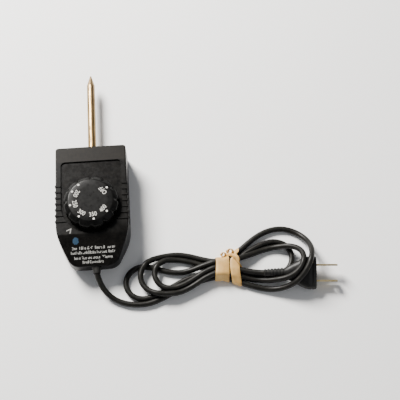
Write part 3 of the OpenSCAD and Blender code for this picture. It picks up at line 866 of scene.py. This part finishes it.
def blade_material():
    s = Shader("brass_blade")
    s.set(Metallic=1.0)
    col = s.mix(s.ramp(s.noise(500, 5, 0.65), 0.35, 0.7), (0.50, 0.38, 0.18), (0.72, 0.60, 0.36))
    spots = s.ramp(s.noise(1500, 4, 0.7, seed=2.0), 0.6, 0.7)
    col = s.mix(s.math("MULTIPLY", spots, 0.6), col, (0.14, 0.09, 0.04))
    s.bump(s.noise(1800, 3, stretch=(0.1, 1, 1)), 0.2, BUMP)
    return s.done(col, s.ramp(s.noise(800, 3, seed=1.0), 0.3, 0.7, 0.28, 0.5))


def floor_material():
    s = Shader("floor")
    col = s.mix(s.noise(3, 2), (0.86, 0.86, 0.85), (0.90, 0.90, 0.89))
    return s.done(col, 0.85)


MATS = {
    "black_plastic": housing_material(),
    "knob_plastic": knob_material(),
    "probe_metal": probe_material(),
    "cord_jacket": cord_material(),
    "band_rubber": band_material(),
    "brass_blade": blade_material(),
    "black_rubber": plain("black_rubber", (0.006, 0.006, 0.0055), (0.013, 0.0125, 0.0115), 0.55, 1200, 0.2,
                          gloss=0.25),
    "plug_vinyl": plain("plug_vinyl", (0.005, 0.005, 0.0048), (0.011, 0.0105, 0.0095), 0.42, 1300, 0.12,
                        wear=(0.022, 0.02, 0.017), gloss=0.25),
    "steel": plain("steel", (0.36, 0.355, 0.34), (0.47, 0.46, 0.44), 0.36, 1500, 0.15, 1.0,
                   wear=(0.15, 0.11, 0.08)),
    "brass": plain("brass", (0.66, 0.50, 0.24), (0.50, 0.37, 0.18), 0.32, 1400, 0.15, 1.0,
                   wear=(0.20, 0.13, 0.06)),
    "silver": plain("silver", (0.78, 0.78, 0.76), (0.62, 0.61, 0.58), 0.30, 1800, 0.15, 1.0),
    "ceramic": plain("ceramic", (0.58, 0.54, 0.46), (0.48, 0.44, 0.36), 0.70, 1600, 0.25,
                     wear=(0.30, 0.25, 0.18)),
    "mica": plain("mica", (0.55, 0.50, 0.42), (0.42, 0.37, 0.30), 0.40, 700, 0.3, coat=0.3),
    "white_wire": plain("white_wire", (0.76, 0.73, 0.66), (0.66, 0.62, 0.54), 0.5, 1500, 0.15),
    "dark_wire": plain("dark_wire", (0.03, 0.03, 0.03), (0.05, 0.05, 0.048), 0.5, 1500, 0.15),
    "red_wire": plain("red_wire", (0.26, 0.04, 0.03), (0.18, 0.03, 0.02), 0.5, 1500, 0.15),
}
PRINT_WHITE = print_material("print_white", (0.52, 0.51, 0.475), (0.17, 0.16, 0.145))
PRINT_GREY = print_material("print_grey", (0.46, 0.455, 0.43), (0.12, 0.115, 0.105), 0.5)
PRINT_DIM = print_material("print_dim", (0.16, 0.155, 0.145), (0.05, 0.047, 0.043), 0.6)
PRINT_BLUE = print_material("print_blue", (0.010, 0.042, 0.085), (0.004, 0.009, 0.015), 0.8)


def paint(ob, mat):
    """Gives a piece one material."""
    ob.data.materials.clear()
    ob.data.materials.append(mat)
    return ob


# every CAD node takes the material of its slot
slots = {p["node"]: p["material_slot"] for p in frame["record"]["subparts"]}
for name, ob in NODES.items():
    for sl in ob.material_slots:
        sl.material = MATS[slots[name]]


# ---------------------------------------------------------------- the pieces
cord = paint(make_cord(), MATS["cord_jacket"])
band = paint(make_band(), MATS["band_rubber"])
plug = paint(make_plug(), MATS["plug_vinyl"])
paint(make_knob(), MATS["knob_plastic"])
paint(make_dial_print(), PRINT_WHITE)
paint(make_label(), PRINT_GREY)
paint(make_index(), PRINT_DIM)
paint(make_spot(), PRINT_BLUE)
paint(rounded_shell("upper_housing", 0.22, big=1.1), MATS["black_plastic"])
paint(rounded_shell("lower_housing", 0.35), MATS["black_plastic"])


# ---------------------------------------------------------------- floor and light
FLOOR_Z = -0.25         # just under the object, so that no face lies in the floor
corners = [(x * 4000, y * 4000, FLOOR_Z) for x, y in ((-1, -1), (1, -1), (1, 1), (-1, 1))]
floor = add_mesh("floor", corners, [(0, 1, 2, 3)], smooth=False)
paint(floor, floor_material())


def area_light(name, toward, dist, size, power, color):
    """Round soft light at dist metres in the direction toward, aimed at the middle of the object."""
    li = bpy.data.lights.new(name, "AREA")
    li.shape = "DISK"
    li.size = size
    li.energy = power
    li.color = color
    ob = bpy.data.objects.new(name, li)
    bpy.context.scene.collection.objects.link(ob)
    d = Vector(toward).normalized()
    aim = Vector((0.07, -0.03, 0))
    ob.location = aim + d * dist
    ob.rotation_euler = (-d).to_track_quat("-Z", "Y").to_euler()


area_light("key", (-0.62, 0.85, 0.95), 1.3, 0.55, 68, (1.0, 0.975, 0.94))
area_light("fill", (0.9, -0.9, 1.0), 1.6, 1.2, 3, (0.95, 0.97, 1.0))
world = bpy.data.worlds.new("world")
bpy.context.scene.world = world
world.use_nodes = True
sky = world.node_tree.nodes["Background"]
sky.inputs["Color"].default_value = (0.93, 0.95, 1.0, 1)
sky.inputs["Strength"].default_value = 0.27
